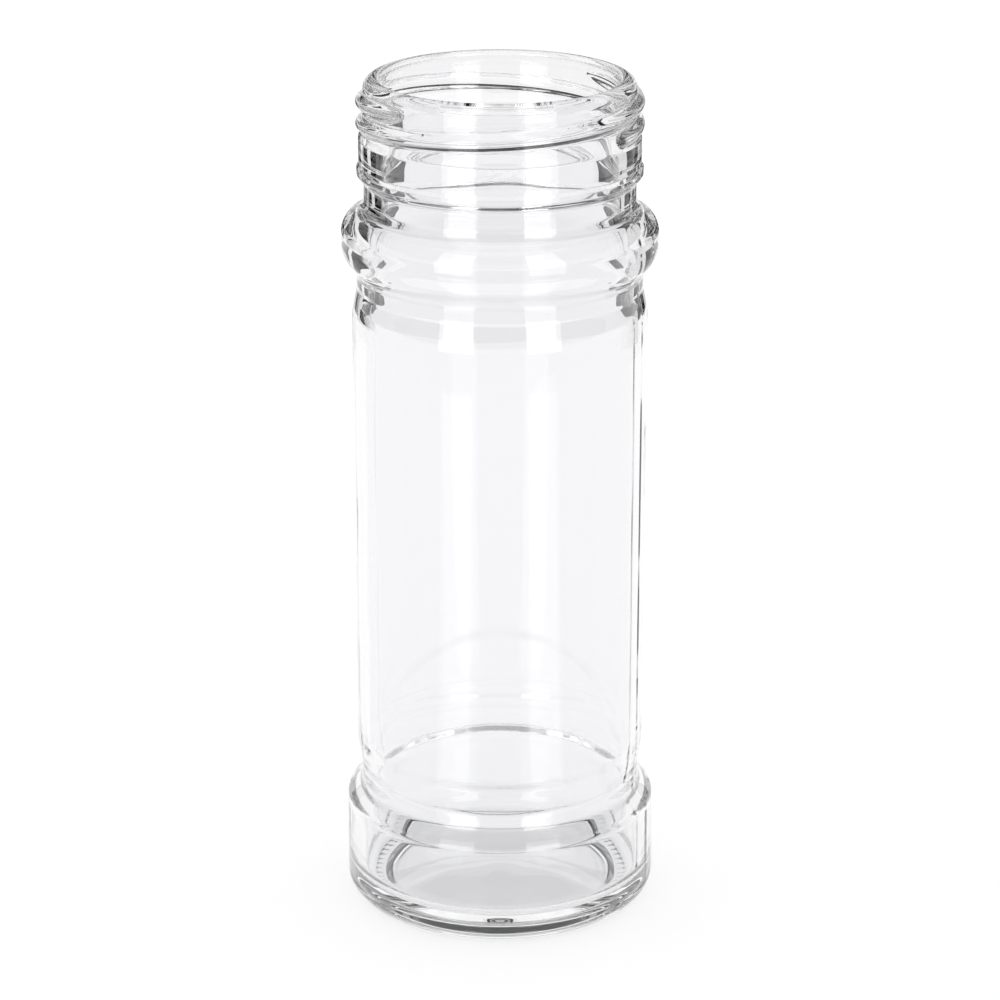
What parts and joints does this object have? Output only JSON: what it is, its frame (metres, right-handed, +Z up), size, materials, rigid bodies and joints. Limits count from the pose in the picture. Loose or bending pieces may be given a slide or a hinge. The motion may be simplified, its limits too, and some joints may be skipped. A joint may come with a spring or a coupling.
{
  "type": "spice jar",
  "caption": "Slim round glass jar with a screw-threaded mouth, a bulge ring under the neck, a straight body and a wider band at the foot.",
  "frame": {"origin": "on the jar's axis, in the plane of the ring that it stands on", "axes": "+Z up along the jar's axis towards the mouth; -Y towards the side that the picture shows"},
  "size_m": [0.047, 0.047, 0.1268],
  "materials": {
    "clear_glass": "clear colourless container glass, fire-polished smooth inside and out, with a stippled ring underneath"
  },
  "bodies": {
    "root": {"jar": "clear_glass"}
  },
  "joints": []
}
